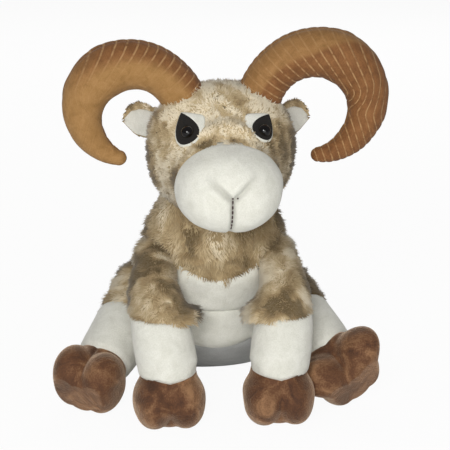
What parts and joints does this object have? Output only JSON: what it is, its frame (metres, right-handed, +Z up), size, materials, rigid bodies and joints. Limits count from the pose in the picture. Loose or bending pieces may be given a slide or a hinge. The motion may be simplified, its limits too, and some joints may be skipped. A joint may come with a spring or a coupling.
{
  "type": "plush toy ram",
  "caption": "Sitting stuffed toy ram in tan fur with white muzzle, bib and legs, brown hooves and large curled ribbed horns; the soft limbs, head, horns, ears and tail give at their seams.",
  "frame": {"origin": "middle of the flat seat that the toy rests on", "axes": "+Z up, -Y towards the toy's nose, +X towards its own left side"},
  "size_m": [0.2422, 0.2199, 0.2743],
  "materials": {
    "tan_pile": "long mottled pile",
    "white_pile": "short plush",
    "brown_pile": "crushed short plush",
    "horn_cloth": "ribbed nap",
    "dark_felt": "matte felt",
    "thread": "matte thread",
    "eye_plastic": "glossy",
    "washer_plastic": "matte",
    "filling": "loose fibre",
    "bag_cloth": "plain weave"
  },
  "bodies": {
    "torso": {"body_skin": "tan_pile", "chest_bib": "white_pile", "belly_panel": "white_pile", "seat_panel": "white_pile", "body_filling": "filling", "pellet_bag": "bag_cloth"},
    "head": {"head_skin": "tan_pile", "muzzle": "white_pile", "head_filling": "filling", "mouth_stitching": "thread", "eye_patch_left": "white_pile", "eye_patch_right": "white_pile", "eye_felt_left": "dark_felt", "eye_felt_right": "dark_felt", "eye_left": "eye_plastic", "eye_right": "eye_plastic", "eye_washer_left": "washer_plastic", "eye_washer_right": "washer_plastic"},
    "tail": {"tail": "tan_pile"},
    "horn_left": {"horn_front_left": "horn_cloth", "horn_back_left": "horn_cloth", "horn_filling_left": "filling"},
    "ear_left": {"ear_back_left": "tan_pile", "ear_lining_left": "white_pile"},
    "front_leg_left": {"front_sleeve_left": "tan_pile", "front_sock_left": "white_pile", "front_hoof_left": "brown_pile", "front_filling_left": "filling"},
    "hind_leg_left": {"hind_thigh_left": "tan_pile", "hind_sock_left": "white_pile", "hind_hoof_left": "brown_pile", "hind_filling_left": "filling"},
    "horn_right": {"horn_front_right": "horn_cloth", "horn_back_right": "horn_cloth", "horn_filling_right": "filling"},
    "ear_right": {"ear_back_right": "tan_pile", "ear_lining_right": "white_pile"},
    "front_leg_right": {"front_sleeve_right": "tan_pile", "front_sock_right": "white_pile", "front_hoof_right": "brown_pile", "front_filling_right": "filling"},
    "hind_leg_right": {"hind_thigh_right": "tan_pile", "hind_sock_right": "white_pile", "hind_hoof_right": "brown_pile", "hind_filling_right": "filling"}
  },
  "joints": [
    {"name": "neck_nod", "type": "hinge", "parent": "torso", "child": "head", "pos_m": [0, -0.064, 0.145], "axis": [1, 0, 0], "range_deg": [-8, 8], "stiffness_Nm_per_rad": 2},
    {"name": "horn_lean_left", "type": "hinge", "parent": "head", "child": "horn_left", "pos_m": [0.03087, -0.09584, 0.23213], "axis": [0, 0.9903, 0.1392], "range_deg": [-8, 8], "stiffness_Nm_per_rad": 0.6},
    {"name": "ear_flap_left", "type": "hinge", "parent": "head", "child": "ear_left", "pos_m": [0.04684, -0.07836, 0.20836], "axis": [0.3778, 0.4084, 0.831], "range_deg": [-20, 20], "stiffness_Nm_per_rad": 0.05},
    {"name": "front_leg_swing_left", "type": "hinge", "parent": "torso", "child": "front_leg_left", "pos_m": [0.0435, -0.07, 0.104], "axis": [-1, 0, 0], "range_deg": [0, 45], "stiffness_Nm_per_rad": 0.5},
    {"name": "hind_leg_splay_left", "type": "hinge", "parent": "torso", "child": "hind_leg_left", "pos_m": [0.048, -0.034, 0.066], "axis": [0, 0, 1], "range_deg": [0, 25], "stiffness_Nm_per_rad": 0.5},
    {"name": "horn_lean_right", "type": "hinge", "parent": "head", "child": "horn_right", "pos_m": [-0.02787, -0.09584, 0.23213], "axis": [0, 0.9903, 0.1392], "range_deg": [-8, 8], "stiffness_Nm_per_rad": 0.6},
    {"name": "ear_flap_right", "type": "hinge", "parent": "head", "child": "ear_right", "pos_m": [-0.04384, -0.07836, 0.20836], "axis": [-0.3778, 0.4084, 0.831], "range_deg": [-20, 20], "stiffness_Nm_per_rad": 0.05},
    {"name": "front_leg_swing_right", "type": "hinge", "parent": "torso", "child": "front_leg_right", "pos_m": [-0.0435, -0.07, 0.104], "axis": [-1, 0, 0], "range_deg": [0, 45], "stiffness_Nm_per_rad": 0.5},
    {"name": "hind_leg_splay_right", "type": "hinge", "parent": "torso", "child": "hind_leg_right", "pos_m": [-0.048, -0.034, 0.066], "axis": [0, 0, -1], "range_deg": [0, 25], "stiffness_Nm_per_rad": 0.5},
    {"name": "tail_flip", "type": "hinge", "parent": "torso", "child": "tail", "pos_m": [0, 0.01835, 0.058], "axis": [1, 0, 0], "range_deg": [0, 40], "stiffness_Nm_per_rad": 0.05}
  ]
}
